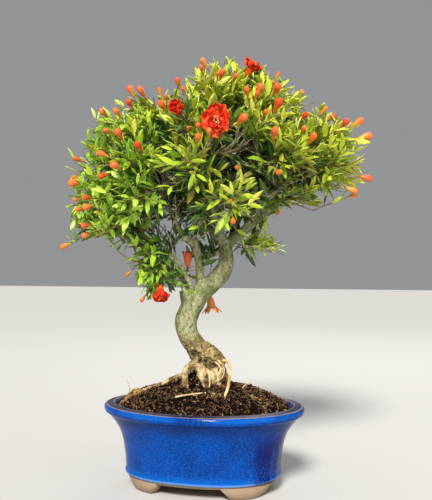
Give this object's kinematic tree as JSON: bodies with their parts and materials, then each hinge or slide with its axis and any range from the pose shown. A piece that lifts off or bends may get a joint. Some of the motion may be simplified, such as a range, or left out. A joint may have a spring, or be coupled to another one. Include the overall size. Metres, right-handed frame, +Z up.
{
  "type": "pomegranate bonsai in a pot",
  "caption": "Flowering dwarf pomegranate bonsai with an S-curved trunk, surface roots, leafy crown, red blooms and buds, in an oval blue glazed pot on feet.",
  "frame": {"origin": "on the surface that the pot stands on, under the middle of the ground that the whole plant covers", "axes": "+X along the pot's long axis, towards the crown's longer side; +Y away from the plant's front; +Z up"},
  "size_m": [0.3936, 0.3034, 0.5238],
  "materials": {
    "glaze": "glossy cobalt blue glaze with a fine lighter mottle and darker runs, unglazed buff clay on the feet",
    "soil": "dull dark brown crumbs with reddish fibres and pale grit",
    "bark": "smooth pale greenish cream bark with olive patches and dark specks",
    "dead_wood": "dry bleached twig",
    "leaf": "semi-gloss bright yellow-green, deeper green inside the crown",
    "calyx": "waxy glossy orange to red",
    "petal": "crumpled satin scarlet",
    "stamen": "dull cream yellow"
  },
  "bodies": {
    "root": {"bloom_back_left_calyx": "calyx", "bloom_back_left_petals": "petal", "bloom_back_right_calyx": "calyx", "bloom_back_right_petals": "petal", "bloom_front_calyx": "calyx", "bloom_front_petals": "petal", "bloom_front_stamens": "stamen", "bloom_low_calyx": "calyx", "bloom_low_petals": "petal", "bloom_star_calyx": "calyx", "bloom_top_calyx": "calyx", "bloom_top_petals": "petal", "bloom_tube_calyx": "calyx", "bloom_upper_calyx": "calyx", "bloom_upper_petals": "petal", "pot": "glaze", "soil": "soil", "spray_01": "leaf", "spray_02": "leaf", "spray_03": "leaf", "spray_04": "leaf", "spray_05": "leaf", "spray_06": "leaf", "spray_07": "leaf", "spray_08": "leaf", "spray_09": "leaf", "spray_10": "leaf", "spray_11": "leaf", "spray_12": "leaf", "spray_13": "leaf", "spray_14": "leaf", "spray_15": "leaf", "spray_16": "leaf", "spray_17": "leaf", "spray_18": "leaf", "spray_19": "leaf", "spray_20": "leaf", "spray_21": "leaf", "spray_22": "leaf", "spray_23": "leaf", "spray_24": "leaf", "spray_25": "leaf", "spray_26": "leaf", "spray_27": "leaf", "spray_28": "leaf", "spray_29": "leaf", "spray_30": "leaf", "spray_31": "leaf", "spray_32": "leaf", "spray_33": "leaf", "spray_34": "leaf", "spray_35": "leaf", "spray_36": "leaf", "spray_37": "leaf", "spray_38": "leaf", "spray_39": "leaf", "spray_40": "leaf", "spray_41": "leaf", "stick": "dead_wood", "wood": "bark"}
  },
  "joints": []
}
